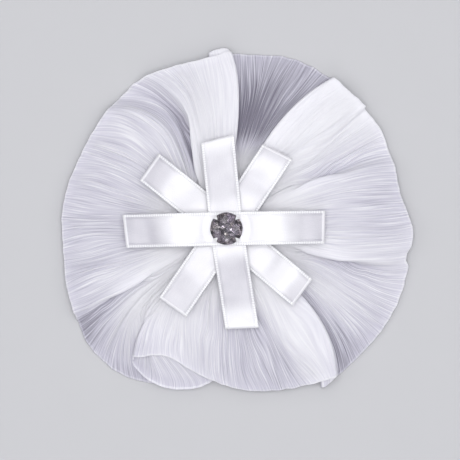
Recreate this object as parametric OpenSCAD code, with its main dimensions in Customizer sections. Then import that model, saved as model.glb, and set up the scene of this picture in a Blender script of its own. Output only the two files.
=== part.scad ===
// Flower pin: a gathered chiffon ruffle, a star of four ribbon loops,
// a claw-set stone in the middle and a brooch pin under it.
// Millimetres, +Z up. The pin lies face up: its back rests at z = 0, and the
// origin is below the middle of the ruffle's outline.

/* [Ruffle] */
// Thickness of the doubled chiffon
cloth_t = 1; // [1:0.1:1.2]
// Radius of the ring where the cloth is gathered
gather_r = 3; // [2.5:0.1:3.5]
// Height of the gathered ring
gather_z = 6.9; // [6.7:0.1:7]
// Distance between two layers of a pleat
layer_gap = 2; // [2:0.1:2.1]
// Height of the valleys' hem
valley_hem_z = 0.65; // [0.65:0.01:0.8]
// Height of the valleys halfway in
valley_mid_z = 4.4; // [4.2:0.1:4.6]

/* [Ribbons] */
// Width of the satin ribbon
ribbon_w = 10; // [9:0.5:11]
// Thickness of one layer of ribbon
ribbon_t = 1; // [1:0.1:1.1]
// Thickness of a loop where it is pinched at its middle
waist_t = 1.2; // [1.2:0.1:1.3]
// Height of the lowest loop's underside at its middle
seat_z = 8.6; // [8.6:0.1:9]
// Gap between two loops where they cross
loop_gap = 0.5; // [0.5:0.05:0.6]
// Rise of the lowest loop's arms from the middle to where the loops part
arm_rise = 2.1; // [2:0.1:2.2]
// How much more each loop rises than the one under it
rise_step = 0.25; // [0.2:0.05:0.3]
// Height of the opening inside a loop's end
loop_open = 1.3; // [1:0.1:1.6]

/* [Stone] */
// Diameter of the stone at its girdle
stone_d = 8.8; // [8:0.1:9]
// Outer diameter of the claw cup
cup_d = 10; // [9.8:0.1:10.4]
// Height of the cup without its claws
cup_h = 2.4; // [2.2:0.1:2.8]
// Width of a claw
claw_w = 1.3; // [1:0.1:1.6]

/* [Pin back] */
// Length of the bar
bar_l = 32; // [28:1:34]
// Width of the bar
bar_w = 5; // [4:0.5:6]
// Thickness of the bar
bar_t = 0.8; // [0.8:0.1:1]
// Diameter of the pin's wire
wire_d = 0.8; // [0.7:0.1:1]
// Height of the wire's middle above the rest plane
wire_z = 1.6; // [1.4:0.1:2]

/* [Hidden] */

// Columns of the pleats. KIND is 0 for a soft rib, 1 for an edge where the cloth
// folds down and under, -1 for an edge where it comes back up from under a petal.
// HEM, MID and GATHER are the line's angles at the hem, halfway and at the gathers,
// HEM_R and HEM_Z its radius and height at the hem, MID_Z its height halfway.
// TUCK and HEM_TUCK say how far the cloth runs back under an edge, inside and at
// the hem (a negative tuck opens the edge into a slope that wide). UNDER_R is the
// hem's radius at the hidden turn, BULGE how far the layer between stands out.
KIND = 0;
HEM = 1;
MID = 2;
GATHER = 3;
HEM_R = 4;
HEM_Z = 5;
MID_Z = 6;
TUCK = 7;
HEM_TUCK = 8;
UNDER_R = 9;
BULGE = 10;
pleats = [
    [ 0,     2,     4,   6, 55.4, 3.6, 10.0, 0,  0,    0,    0],
    [ 0,    12,    17,  22, 53.2, 3.8, 10.2, 0,  0,    0,    0],
    [ 1,    21,    31,  38, 54.4, 3.6, 10.0, 4, -7,   54.6,  0],
    [ 0,    32,  37.5,  49, 55.8, 1.0,  5.6, 0,  0,    0,    0],
    [-1,  40.8,    44,  59, 56.2, 4.2,  9.8, 3,  4, 55.0,  0],
    [ 0,    48,    55,  66, 55.6, 5.2, 10.8, 0,  0,    0,    0],
    [ 1,  54.9,    66,  73, 56.2, 5.2, 10.6, 4,  7,   55.2,  0],
    [ 0,    71,  74.5,  80, 56.0, 0.7,  3.6, 0,  0,    0,    0],
    [-1,  88.2,  83.3,  87, 53.6, 5.2, 10.6, 4,  7,   53.4,  1.2],
    [ 0,    99,    96,  96, 51.0, 5.8, 11.2, 0,  0,    0,    0],
    [ 1,   113, 108.5, 105, 52.6, 4.4, 10.2, 4, -4,   52.6,  0],
    [ 0, 120.5,   114, 115, 52.2, 0.9,  4.4, 0,  0,    0,    0],
    [-1,   128, 118.5, 126, 51.2, 3.6,  9.4, 4, -4,   51.4,  0],
    [ 0,   140,   135, 139, 50.2, 3.6,  9.6, 0,  0,    0,    0],
    [ 0,   155,   152, 154, 49.2, 2.4,  8.6, 0,  0,    0,    0],
    [ 0,   172,   171, 171, 50.4, 3.8,  9.4, 0,  0,    0,    0],
    [ 0,   186,   185, 186, 49.4, 2.4,  8.4, 0,  0,    0,    0],
    [ 0,   199,   198, 199, 51.3, 3.6,  9.8, 0,  0,    0,    0],
    [ 1,   212,   209, 205, 52.8, 3.4,  9.8, 4, -7,   53.2,  0],
    [ 0,   225, 213.5, 216, 55.2, 0.8,  4.6, 0,  0,    0,    0],
    [ 0,   240,   218, 224, 53.4, 0.7,  4.6, 0,  0,    0,    0],
    [-1, 233.6,   223, 231, 47.6, 6.6,  9.6, 2, 26,   45.6,  4.6],
    [ 0, 243.5,   232, 237, 41.2, 8.6, 10.6, 0,  0,    0,    0],
    [ 0,   254,   246, 249, 43.6, 7.2, 10.6, 0,  0,    0,    0],
    [ 0, 264.5,   261, 262, 46.0, 4.6,  9.8, 0,  0,    0,    0],
    [ 0,   276,   275, 276, 49.4, 3.2,  9.0, 0,  0,    0,    0],
    [ 0,   289,   290, 290, 51.8, 3.6, 10.0, 0,  0,    0,    0],
    [ 0,   300,   305, 305, 54.4, 4.6, 10.8, 0,  0,    0,    0],
    [ 1, 308.2, 319.5, 320, 55.8, 5.2, 10.4, 4,  6.5, 56.8,  0],
    [ 0,   321,   329, 329, 55.8, 0.8,  4.8, 0,  0,    0,    0],
    [ 0,   333,   337, 337, 56.6, 1.4,  5.2, 0,  0,    0,    0],
    [-1, 343.5, 343.5, 345, 57.2, 4.6, 10.2, 4,  6.5, 56.2,  0],
    [ 0,   353,   353, 355, 56.4, 4.4, 10.6, 0,  0,    0,    0]
];

// Sections from the gathers to the hem, and points on one stretch of a rib or edge
rings = 11;
rib_steps = 3;
edge_steps = 1;
// Lines that make one folded edge
edge_lines = 8;
// How far from an edge's corner its neighbouring lines stand, at most
edge_reach = 1.3;
// The same as a share of the radius, where the lines close up at the gathers
edge_share = 0.08;
// Share of the way out where the tucks begin and where they are full
tuck_start = 0.3;
tuck_full = 0.52;
// Share of the way out from which a tuck changes to what it is at the hem
tuck_change = 0.45;
// Tuck at which an edge is fully folded
full_fold = 3;
// Heights that all lines keep near the gathers, and where they leave them
even_mid_z = 8.6;
even_hem_z = 3;
even_from = 0.12;
even_until = 0.5;

// Smooth step from 0 at a to 1 at b
function step_up(a, b, x) = let (t = min(1, max(0, (x - a) / (b - a)))) t * t * (3 - 2 * t);

// Curve through three values at v = 0, 0.5 and 1
function three_point(first, middle, last, v) =
    first * (1 - v) * (1 - 2 * v) + middle * 4 * v * (1 - v) + last * v * (2 * v - 1);

function mix(a, b, t) = a + (b - a) * t;

// Height of a line of the ruffle, v running from the gathers to the hem
function line_z(mid_z, hem_z, v) =
    mix(three_point(gather_z, even_mid_z, even_hem_z, v),
        three_point(gather_z, mid_z, hem_z, v), step_up(even_from, even_until, v));

function line_r(hem_r, v) = mix(gather_r, hem_r, v);

function pleat_angle(p, v) = three_point(p[GATHER], p[MID], p[HEM], v);

// One line of a soft rib, as [angle, radius, height]
function rib_line(p, vs) =
    [for (v = vs) [pleat_angle(p, v), line_r(p[HEM_R], v), line_z(p[MID_Z], p[HEM_Z], v)]];

// One of the lines that make a folded edge, as [angle, radius, height]. The cloth
// runs along the petal to the corner, turns under it, runs back by the tuck and
// turns again onto the valley.
function edge_line(p, k, vs) = [
    for (v = vs)
        let (r = line_r(p[HEM_R], v),
             tuck = step_up(tuck_start, tuck_full, v)
                  * mix(p[TUCK], p[HEM_TUCK], step_up(tuck_change, 1, v)),
             back = max(tuck, 0),
             folded = step_up(0, full_fold, tuck),
             near = min(edge_reach, edge_share * r),
             turn = min(near, back / 2),
             top = line_z(p[MID_Z], p[HEM_Z], v),
             low = line_z(valley_mid_z, valley_hem_z, v),
             middle = low + min(layer_gap, (top - low) / 2),
             share = k / edge_lines,
             slope_x = mix(-near, near + max(-tuck, 0), share),
             slope_z = mix(top, low, step_up(0, 1, share)),
             fold_x = [-near, 0, 0, -turn, -back / 2, turn - back, -back, -back, near - back],
             fold_z = [top, top, middle, middle, middle, middle, middle, low, low],
             far_r = [p[HEM_R], p[HEM_R], p[HEM_R], p[HEM_R] + p[BULGE] / 2,
                      (p[HEM_R] + p[UNDER_R]) / 2 + p[BULGE], p[UNDER_R] + p[BULGE] / 3,
                      p[UNDER_R], p[UNDER_R], p[UNDER_R]],
             x = mix(slope_x, fold_x[k], folded),
             z = mix(slope_z, fold_z[k], folded))
            [pleat_angle(p, v) + p[KIND] * x / r * 180 / PI, line_r(far_r[k], v), z]
];

// All control lines in order round the ruffle, each with its kind
function pleat_lines(p, vs) =
    p[KIND] == 0 ? [[0, rib_line(p, vs)]] :
    p[KIND] > 0 ? [for (k = [0 : edge_lines]) [1, edge_line(p, k, vs)]] :
    [for (k = [edge_lines : -1 : 0]) [1, edge_line(p, k, vs)]];

vs = [for (j = [0 : rings]) j / rings];
lines = [for (p = pleats) each pleat_lines(p, vs)];

function line_at(i) = lines[(i + len(lines)) % len(lines)];

// Control point j of line i, its angle carried on past the full turn
function control(i, j) =
    line_at(i)[1][j] + [360 * floor(i / len(lines)), 0, 0];

// Cubic spline through four neighbouring lines
function spline(i, j, t) =
    (pow(1 - t, 3) * control(i - 1, j)
     + (3 * pow(t, 3) - 6 * t * t + 4) * control(i, j)
     + (-3 * pow(t, 3) + 3 * t * t + 3 * t + 1) * control(i + 1, j)
     + pow(t, 3) * control(i + 2, j)) / 6;

function from_polar(q) = [q[1] * cos(q[0]), q[1] * sin(q[0]), q[2]];

function steps_after(i) = line_at(i)[0] == 1 && line_at(i + 1)[0] == 1 ? edge_steps : rib_steps;

// The cloth's middle surface: one row of points from the gathers to the hem for each
// step round the ruffle
sheet = [
    for (i = [0 : len(lines) - 1])
        let (n = steps_after(i))
            for (s = [0 : n - 1])
                [for (j = [0 : rings]) from_polar(spline(i, j, s / n))]
];
rows = len(sheet);

function unit(v) = v / norm(v);

// Direction square to the cloth at row i, ring j
function cloth_normal(i, j) =
    let (along = sheet[(i + 1) % rows][j] - sheet[(i + rows - 1) % rows][j],
         out = sheet[i][min(j + 1, rings)] - sheet[i][max(j - 1, 0)])
        unit(cross(out, along));

// Both faces of the cloth, the upper one first
cloth_points = [
    for (side = [1, -1], i = [0 : rows - 1], j = [0 : rings])
        sheet[i][j] + side * cloth_t / 2 * cloth_normal(i, j)
];

// The middle of the ruffle's outline sets the origin
function middle(axis) =
    let (at = [for (p = cloth_points) p[axis]]) (min(at) + max(at)) / 2;
gather_at = [-middle(0), -middle(1), 0];

module chiffon_ruffle() {
    ring = rings + 1;
    under = rows * ring;
    function at(i, j) = (i % rows) * ring + j;
    faces = [
        for (i = [0 : rows - 1])
            let (k = i + 1)
                each [
                    for (j = [0 : rings - 1])
                        each [
                            [at(i, j), at(k, j), at(k, j + 1)],
                            [at(i, j), at(k, j + 1), at(i, j + 1)],
                            [under + at(i, j), under + at(k, j + 1), under + at(k, j)],
                            [under + at(i, j), under + at(i, j + 1), under + at(k, j + 1)]
                        ],
                    [at(i, rings), at(k, rings), under + at(k, rings)],
                    [at(i, rings), under + at(k, rings), under + at(i, rings)],
                    [at(k, 0), at(i, 0), under + at(i, 0)],
                    [at(k, 0), under + at(i, 0), under + at(k, 0)]
                ]
    ];
    color("white")
        translate(gather_at)
            polyhedron(cloth_points, faces, convexity = 12);
}

// Columns of the ribbon's arms: the arm's direction, its length from the stone, how
// far its end is askew, and how much it rises or falls from where the loops part
AIM = 0;
LENGTH = 1;
SKEW = 2;
DROOP = 3;
diagonal_left_arms = [[141.3, 29.7, -2, 1.4], [319.9, 29.9, -2, 1.8]];
diagonal_right_arms = [[56.3, 27.8, -3, 0.4], [235.6, 28.7, 1, 0.4]];
vertical_arms = [[95.7, 27.2, -2, -1.2], [278.9, 30.4, 3, -2.6]];
horizontal_arms = [[1.2, 29.6, -1, -3.8], [181.2, 30.7, -4, -4.4]];

// Where an arm starts to rise, under the cup, and where the loops have parted
rise_from = 3;
part_at = 15;
// How far an arm runs past the middle into the arm across
arm_overlap = 3;
// Stretches of an arm's outline and of the bend at its end
arm_steps = 14;
bend_steps = 8;
// Least height of the slot inside a loop
slot_min = 0.1;

// Height of the middle of loop number n's waist, counted from the bottom
function waist_z(n) = seat_z + n * (waist_t + loop_gap) + waist_t / 2;

end_half = ribbon_t + loop_open / 2;
function bend_at(arm) = arm[LENGTH] - end_half;

function arm_z(arm, n, u) =
    waist_z(n) + (arm_rise + n * rise_step) * step_up(rise_from, part_at, u)
    + arm[DROOP] * step_up(part_at, arm[LENGTH], u);

function arm_half(arm, u) = mix(waist_t / 2, end_half, step_up(part_at, bend_at(arm), u));

// Outline of the arm from the side, drawn in by inset; a slot starts where it is open
module arm_outline(arm, n, inset) {
    last = bend_at(arm);
    us = [
        for (k = [0 : arm_steps])
            let (u = mix(-arm_overlap, last, k / arm_steps))
                if (arm_half(arm, u) - inset > (inset > 0 ? slot_min / 2 : 0)) u
    ];
    polygon([
        for (u = us) [u, arm_z(arm, n, u) + arm_half(arm, u) - inset],
        for (k = [1 : bend_steps - 1])
            let (a = 90 - 180 * k / bend_steps)
                [last, arm_z(arm, n, last)] + (end_half - inset) * [cos(a), sin(a)],
        for (k = [len(us) - 1 : -1 : 0])
            [us[k], arm_z(arm, n, us[k]) - arm_half(arm, us[k]) + inset]
    ]);
}

module ribbon_arm(arm, n) {
    lean = tan(arm[SKEW]);
    rotate([0, 0, arm[AIM]])
        multmatrix([[1, lean, 0, 0], [0, 1, 0, 0], [0, 0, 1, 0], [0, 0, 0, 1]])
            rotate([90, 0, 0])
                linear_extrude(ribbon_w, center = true)
                    difference() {
                        arm_outline(arm, n, 0);
                        arm_outline(arm, n, ribbon_t);
                    }
}

module ribbon_loop(arms, n) {
    color("snow")
        translate(gather_at)
            for (arm = arms) ribbon_arm(arm, n);
}

module ribbon_loop_diagonal_left() {
    ribbon_loop(diagonal_left_arms, 0);
}

module ribbon_loop_diagonal_right() {
    ribbon_loop(diagonal_right_arms, 1);
}

module ribbon_loop_vertical() {
    ribbon_loop(vertical_arms, 2);
}

module ribbon_loop_horizontal() {
    ribbon_loop(horizontal_arms, 3);
}

cup_z = waist_z(3) + waist_t / 2 + loop_gap / 2;
cup_wall = 0.5;
cup_floor = 0.6;
// Width of the bevel round the cup's foot, outside and inside
cup_bevel = 1.2;
cup_inner_bevel = 1.1;
// Space between the stone and the metal
stone_gap = 0.08;
stone_r = stone_d / 2;
girdle_t = 0.3;
girdle_z = cup_z + cup_h + stone_gap;
// Heights of the crown above the girdle and of the pavilion under it
crown_h = 1.5;
pavilion_h = 1.8;
// Radius of the table, before the facets round it are cut
table_r = 2.5;
// How far the claws' tips reach over the stone, and how high above the girdle
claw_reach = 0.9;
claw_over = 0.85;
claw_t = 0.5;
claw_round = 0.2;
claw_foot = 0.5;
claw_turn = 45;
claws = 4;

// A claw is a strip of the cup's wall that hooks over the crown and follows its slope
module claw() {
    outer = cup_d / 2;
    foot = cup_z + claw_foot;
    rim = girdle_z + girdle_t / 2;
    tip = stone_r - claw_reach;
    rotate([90, 0, 0])
        linear_extrude(claw_w, center = true)
            polygon([
                [outer - cup_wall, foot],
                [outer, foot],
                [outer, rim + claw_round],
                [outer - claw_t, rim + claw_over + claw_t - claw_round],
                [tip, rim + claw_over + claw_t],
                [tip, rim + claw_over + stone_gap],
                [stone_r + stone_gap, rim + 3 * stone_gap],
                [stone_r + stone_gap, cup_z + cup_h - claw_round]
            ]);
}

module stone_setting() {
    outer = cup_d / 2;
    inner = outer - cup_wall;
    color("silver")
        translate(gather_at) {
            translate([0, 0, cup_z])
                rotate_extrude($fn = 64)
                    polygon([
                        [0, 0],
                        [outer - cup_bevel, 0],
                        [outer, cup_bevel],
                        [outer, cup_h],
                        [inner, cup_h],
                        [inner, cup_floor + cup_inner_bevel],
                        [inner - cup_inner_bevel, cup_floor],
                        [0, cup_floor]
                    ]);
            for (k = [0 : claws - 1])
                rotate([0, 0, claw_turn + k * 360 / claws]) claw();
        }
}

// Columns of the cuts: how many facets, their tilt from flat, the first one's
// direction, and the distance of their planes from the middle of the girdle
CUT_N = 0;
CUT_TILT = 1;
CUT_AIM = 2;
CUT_R = 3;
main_tilt = atan2(crown_h, stone_r - table_r);
main_r = stone_r * sin(main_tilt) + girdle_t / 2 * cos(main_tilt);
star_tilt = 24;
half_tilt = 47;
back_tilt = 142;
cuts = [
    [ 8, main_tilt,  22.5, main_r],
    [ 8, star_tilt,     0,   2.36],
    [16, half_tilt, 11.25,   3.33],
    [ 8, back_tilt,  22.5,   2.82]
];

// The stone is cut from a round blank, one plane for each facet
module rhinestone() {
    waste = 3 * stone_d;
    color("gainsboro")
        translate(gather_at + [0, 0, girdle_z])
            difference() {
                translate([0, 0, -pavilion_h])
                    cylinder(r = stone_r, h = pavilion_h + girdle_t / 2 + crown_h, $fn = 64);
                for (cut = cuts)
                    for (k = [0 : cut[CUT_N] - 1])
                        rotate([0, cut[CUT_TILT], cut[CUT_AIM] + k * 360 / cut[CUT_N]])
                            translate([-waste / 2, -waste / 2, cut[CUT_R]])
                                cube(waste);
            }
}

// Top of the bar, just under the gathered cloth
bar_gap = 0.3;
bar_top = gather_z - cloth_t / 2 - bar_gap;
// Lengths of the hinge block and of the catch along the bar
block_l = 4;
catch_l = 2.4;
// Height of the catch's mouth, and how far the wire's point passes the catch
catch_open = 1.4;
point_l = 1;
knuckle_r = 1.3;

module pin_back() {
    // The block and the catch end halfway up the bar, so that they are one with it
    post_h = bar_top - bar_t / 2;
    mouth = catch_l + 2 * point_l;
    color("silver")
        translate(gather_at) {
            translate([-bar_l / 2, -bar_w / 2, bar_top - bar_t])
                cube([bar_l, bar_w, bar_t]);
            // Hinge block with its round knuckle
            translate([bar_l / 2 - block_l, -bar_w / 2, 0])
                cube([block_l, bar_w, post_h]);
            translate([bar_l / 2 - block_l, 0, wire_z])
                rotate([90, 0, 0])
                    cylinder(r = knuckle_r, h = bar_w, center = true, $fn = 32);
            // Catch, a hook with its mouth above the wire towards the front
            difference() {
                translate([-bar_l / 2, -bar_w / 2, 0])
                    cube([catch_l, bar_w, post_h]);
                translate([-bar_l / 2 - point_l, -bar_w, wire_z + wire_d / 2])
                    cube([mouth, bar_w, catch_open]);
            }
            translate([-bar_l / 2 - point_l, 0, wire_z])
                rotate([0, 90, 0])
                    cylinder(d = wire_d, h = bar_l - block_l + point_l, $fn = 24);
        }
}

chiffon_ruffle();
ribbon_loop_diagonal_left();
ribbon_loop_diagonal_right();
ribbon_loop_vertical();
ribbon_loop_horizontal();
stone_setting();
rhinestone();
pin_back();
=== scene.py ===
from math import cos, pi, radians, sin, tan
import bpy
import bmesh
import numpy as np
from mathutils import Matrix, Vector


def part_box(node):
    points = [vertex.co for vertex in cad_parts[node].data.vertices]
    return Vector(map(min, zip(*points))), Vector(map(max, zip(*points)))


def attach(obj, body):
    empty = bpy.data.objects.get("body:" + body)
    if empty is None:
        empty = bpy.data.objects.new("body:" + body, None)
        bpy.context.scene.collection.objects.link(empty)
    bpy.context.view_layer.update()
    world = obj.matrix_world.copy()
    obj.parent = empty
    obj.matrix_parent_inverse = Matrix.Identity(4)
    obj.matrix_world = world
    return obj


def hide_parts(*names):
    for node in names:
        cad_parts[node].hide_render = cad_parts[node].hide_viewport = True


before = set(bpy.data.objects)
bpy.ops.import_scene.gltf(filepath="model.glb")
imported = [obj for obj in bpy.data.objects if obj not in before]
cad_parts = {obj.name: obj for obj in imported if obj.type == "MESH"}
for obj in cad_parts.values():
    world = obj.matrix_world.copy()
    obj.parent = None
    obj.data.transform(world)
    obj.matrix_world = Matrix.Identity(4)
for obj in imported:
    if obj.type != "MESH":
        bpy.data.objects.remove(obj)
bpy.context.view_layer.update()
mm = 0.001
print("frame loaded")

# the pin's middle, where the gathers meet and the stone sits
cupLow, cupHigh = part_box("stone_setting")
middleX = (cupLow.x + cupHigh.x) / 2 / mm
middleY = (cupLow.y + cupHigh.y) / 2 / mm


# Shapes in numbers
def mix(a, b, share):
    return a + (b - a) * share


def stepUp(a, b, x):
    t = np.clip((x - a) / (b - a), 0, 1)
    return t * t * (3 - 2 * t)


# up between the first two of four edges, and down again between the last two
def within(edges, x):
    first, full, less, last = edges
    return stepUp(first, full, x) * (1 - stepUp(less, last, x))


# a curve through three values, at v = 0, 0.5 and 1
def threePoint(first, halfway, last, v):
    return first * (1 - v) * (1 - 2 * v) + halfway * 4 * v * (1 - v) + last * v * (2 * v - 1)


def unitRows(vectors):
    return vectors / np.maximum(np.linalg.norm(vectors, axis=-1, keepdims=True), 1e-12)


# places of many points, where any of the three may be one number
def pointsAt(x, y, z):
    return np.stack(np.broadcast_arrays(x, y, z), -1)


# from the row before each to the row after it, closed round
def overEach(rows):
    return np.roll(rows, -1, 0) - np.roll(rows, 1, 0)


def lengthAlong(path):
    steps = np.linalg.norm(np.diff(path, axis=0), axis=1)
    return np.concatenate([[0], np.cumsum(steps)])


# in plan: the direction of an angle, and the one across it
def headings(angle):
    return np.stack([np.cos(angle), np.sin(angle)], -1), np.stack([-np.sin(angle), np.cos(angle)], -1)


# in space: the direction that leans so far from upright
def leaning(aim, lean):
    return Vector((sin(lean) * cos(aim), sin(lean) * sin(aim), cos(lean)))


def onceRound(count):
    return np.linspace(0, 2 * pi, count + 1)[:-1]


def circle(radius, sides):
    return headings(onceRound(sides))[0] * np.asarray(radius, float).reshape(-1, 1, 1)


# a rectangle with rounded corners, each given as a few points round an arc
def rounded(halfLong, halfWide, corner, steps=6):
    turns = np.radians([k * 90 + t for k in range(4) for t in np.linspace(0, 90, steps)])
    signs = np.repeat([(1, 1), (-1, 1), (-1, -1), (1, -1)], steps, 0)
    return signs * [halfLong - corner, halfWide - corner] + corner * headings(turns)[0]


# a section carried along a path in mm; its second direction stays as near as it can to across
def sweep(path, section, across, closed=False):
    ahead = overEach(path) if closed else np.gradient(path, axis=0)
    side = unitRows(np.cross(ahead, across))
    level = unitRows(np.cross(side, ahead))
    return path[:, None] + side[:, None] * section[..., 0:1] + level[:, None] * section[..., 1:2]


# Pieces
def addObject(name, data):
    made = bpy.data.objects.new(name, data)
    bpy.context.scene.collection.objects.link(made)
    return made


def pieceFrom(name, shape):
    mesh = bpy.data.meshes.new(name)
    shape.to_mesh(mesh)
    shape.free()
    return addObject(name, mesh)


# mesh from a grid of points in mm: rows run round or along, columns run across
def gridPiece(name, points, across=None, along=None, closeRows=True, closeColumns=False, shades=None):
    rows, columns = points.shape[:2]
    lastRow = rows if closeRows else rows - 1
    lastColumn = columns if closeColumns else columns - 1
    i, j = np.meshgrid(np.arange(lastRow), np.arange(lastColumn), indexing="ij")
    here, following, nextJ = i * columns, (i + 1) % rows * columns, (j + 1) % columns
    corners = np.stack([here + j, here + nextJ, following + nextJ, following + j], -1)
    mesh = bpy.data.meshes.new(name)
    mesh.from_pydata((points.reshape(-1, 3) * mm).tolist(), [], corners.reshape(-1, 4).tolist())
    mesh.shade_smooth()
    if along is not None:
        cornerI = np.stack([i, i, i + 1, i + 1], -1)
        cornerJ = np.stack([j, j + 1, j + 1, j], -1)
        places = np.stack([along[cornerI, cornerJ], across[cornerI, cornerJ]], -1)
        layer = mesh.uv_layers.new(name="cloth")
        layer.data.foreach_set("uv", places.astype(np.float32).ravel())
    for shade, values in (shades or {}).items():
        made = mesh.attributes.new(shade, "FLOAT", "POINT")
        made.data.foreach_set("value", values.astype(np.float32).ravel())
    return addObject(name, mesh)


# several shapes from grids of points, joined as one piece with their open ends filled
def joinedPiece(name, grids):
    shape = bmesh.new()
    for points, closeRows, closeColumns in grids:
        part = gridPiece(name + "Part", points, closeRows=closeRows, closeColumns=closeColumns)
        shape.from_mesh(part.data)
        bpy.data.objects.remove(part)
    bmesh.ops.holes_fill(shape, edges=[e for e in shape.edges if e.is_boundary])
    bmesh.ops.recalc_face_normals(shape, faces=shape.faces)
    piece = pieceFrom(name, shape)
    piece.data.shade_smooth()
    return piece


def finishPiece(piece, slot, materials, *nodes):
    for material in materials:
        piece.data.materials.append(material)
    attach(piece, "root")
    if nodes:
        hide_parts(*nodes)
    return piece


# Nodes
def newMaterial(name):
    made = bpy.data.materials.new(name)
    made.use_nodes = True
    return made, made.node_tree, made.node_tree.nodes["Principled BSDF"]


# a socket knows its tree as its id_data
def feed(socket, value):
    if isinstance(value, bpy.types.NodeSocket):
        socket.id_data.links.new(value, socket)
    else:
        socket.default_value = value


def addNode(tree, kind, inputs=None, **settings):
    node = tree.nodes.new("ShaderNode" + kind)
    for setting, value in settings.items():
        setattr(node, setting, value)
    for socket, value in (inputs or {}).items():
        feed(node.inputs[socket], value)
    return node


def setShader(shader, **values):
    for words, value in values.items():
        feed(shader.inputs[words.replace("_", " ")], value)


def mathNode(operation, a, b):
    return addNode(a.id_data, "Math", {0: a, 1: b}, operation=operation).outputs[0]


def plus(total, *others):
    for other in others:
        total = mathNode("ADD", total, other)
    return total


def times(a, b):
    return mathNode("MULTIPLY", a, b)


# how far a value is from its middle, made larger or smaller
def swing(value, middle, gain):
    return times(mathNode("SUBTRACT", value, middle), gain)


def spread(value, low, high, outLow=0.0, outHigh=1.0):
    ends = {"From Min": low, "From Max": high, "To Min": outLow, "To Max": outHigh}
    return addNode(value.id_data, "MapRange", {"Value": value, **ends}).outputs["Result"]


def mixColours(share, a, b):
    return addNode(share.id_data, "Mix", {0: share, 6: a, 7: b}, data_type="RGBA").outputs[2]


def noise(place, scale, detail, roughness=0.5, distortion=0.0):
    inputs = {"Vector": place, "Scale": scale, "Detail": detail, "Roughness": roughness}
    return addNode(place.id_data, "TexNoise", {**inputs, "Distortion": distortion}).outputs["Fac"]


def wave(place, scale, distortion, detail, direction):
    inputs = {"Vector": place, "Scale": scale, "Distortion": distortion, "Detail": detail}
    return addNode(place.id_data, "TexWave", inputs, bands_direction=direction).outputs["Fac"]


def vectorNode(operation, a, b):
    return addNode(a.id_data, "VectorMath", {0: a, 1: b}, operation=operation).outputs


def bumpFrom(height, strength, distance):
    inputs = {"Height": height, "Strength": strength, "Distance": distance}
    return addNode(height.id_data, "Bump", inputs).outputs["Normal"]


def shadeOf(tree, name):
    return addNode(tree, "Attribute", attribute_name=name).outputs["Fac"]


def objectPlace(tree):
    return addNode(tree, "TexCoord").outputs["Object"]


# places on the cloth in mm, along and across it, each with its own scale
def clothPlace(tree, scales):
    place = addNode(tree, "UVMap", uv_map="cloth").outputs["UV"]
    return addNode(tree, "Mapping", {"Vector": place, "Scale": (*scales, 1)}).outputs["Vector"]


# Ruffle: one gathered strip of crinkled chiffon, as in the part's source
ruffleSizes = {
    "gatherR": 3.0, "gatherZ": 6.9, "valleyMidZ": 4.4, "valleyHemZ": 0.65, "petalHemZ": 6.6,
    # the height that all lines share near the gathers, and where each goes over to its own
    "evenMidZ": 9.35, "evenHemZ": 3.0, "evenFrom": 0.12, "evenUntil": 0.5,
    # folds: how far an edge reaches, the space between layers, and where the tuck starts, is full and changes
    "edgeReach": 1.3, "edgeShare": 0.08, "layerGap": 2.0, "fullFold": 3.0,
    "tuckStart": 0.3, "tuckFull": 0.52, "tuckChange": 0.45,
    # tones: the painted light near the gathers that lightens the ribbons' shade there, where it ends, where
    # the line's own is full, and where the hem's begins
    "gatherPaintedLight": 1.0, "innerUntil": 0.33, "midFrom": 0.56, "hemFrom": 0.58,
    # the mesh: rows round, rings outwards, how far they close up inwards, and how much the cloth's length
    # counts in spacing the rows, further in and at the hem
    "rowsRound": 2240, "rings": 33, "closeUp": 0.047, "rowWeights": ((0.6, 0.35), (1.0, 0.65)),
    # the cloth: its length outwards, the hem's usual radius, and the hem that is turned under
    "clothLong": 52.0, "hemReach": 54.0, "hemWidth": 2.3, "hemTurn": 0.24,
    # cloth that would sink into the floor is pressed together just above it
    "lowest": 0.06, "deepest": 0.4, "pressed": 0.12,
    # the flute's lower lip is one layer, and painted shade darkens its rim: its fold's place in pleats, the
    # lines that it covers, how much painted shade there is, and where it starts
    "flute": 23, "lipLines": (-2, -1.5, 5, 6), "lipPaintedShade": 0.2, "lipFrom": (0.945, 0.96),
}
# a rib is one soft line from the gathers to the hem: its angles at hem, halfway and gathers, the hem's
# radius and height, the height halfway, and the tones halfway and at the hem. 1 is three layers thick, 0 is
# one layer, and less is one layer with painted shade of a valley; many tones are also set darker as painted
# shade beside folds and ribbons, or lighter as painted light against their shade. For a few, late is how much
# further out the tones change, and fall is the place from where the cloth drops to its hem
ribColumns = ("hem", "mid", "gather", "hemR", "hemZ", "midZ", "tone", "hemTone", "late", "fall")
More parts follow.
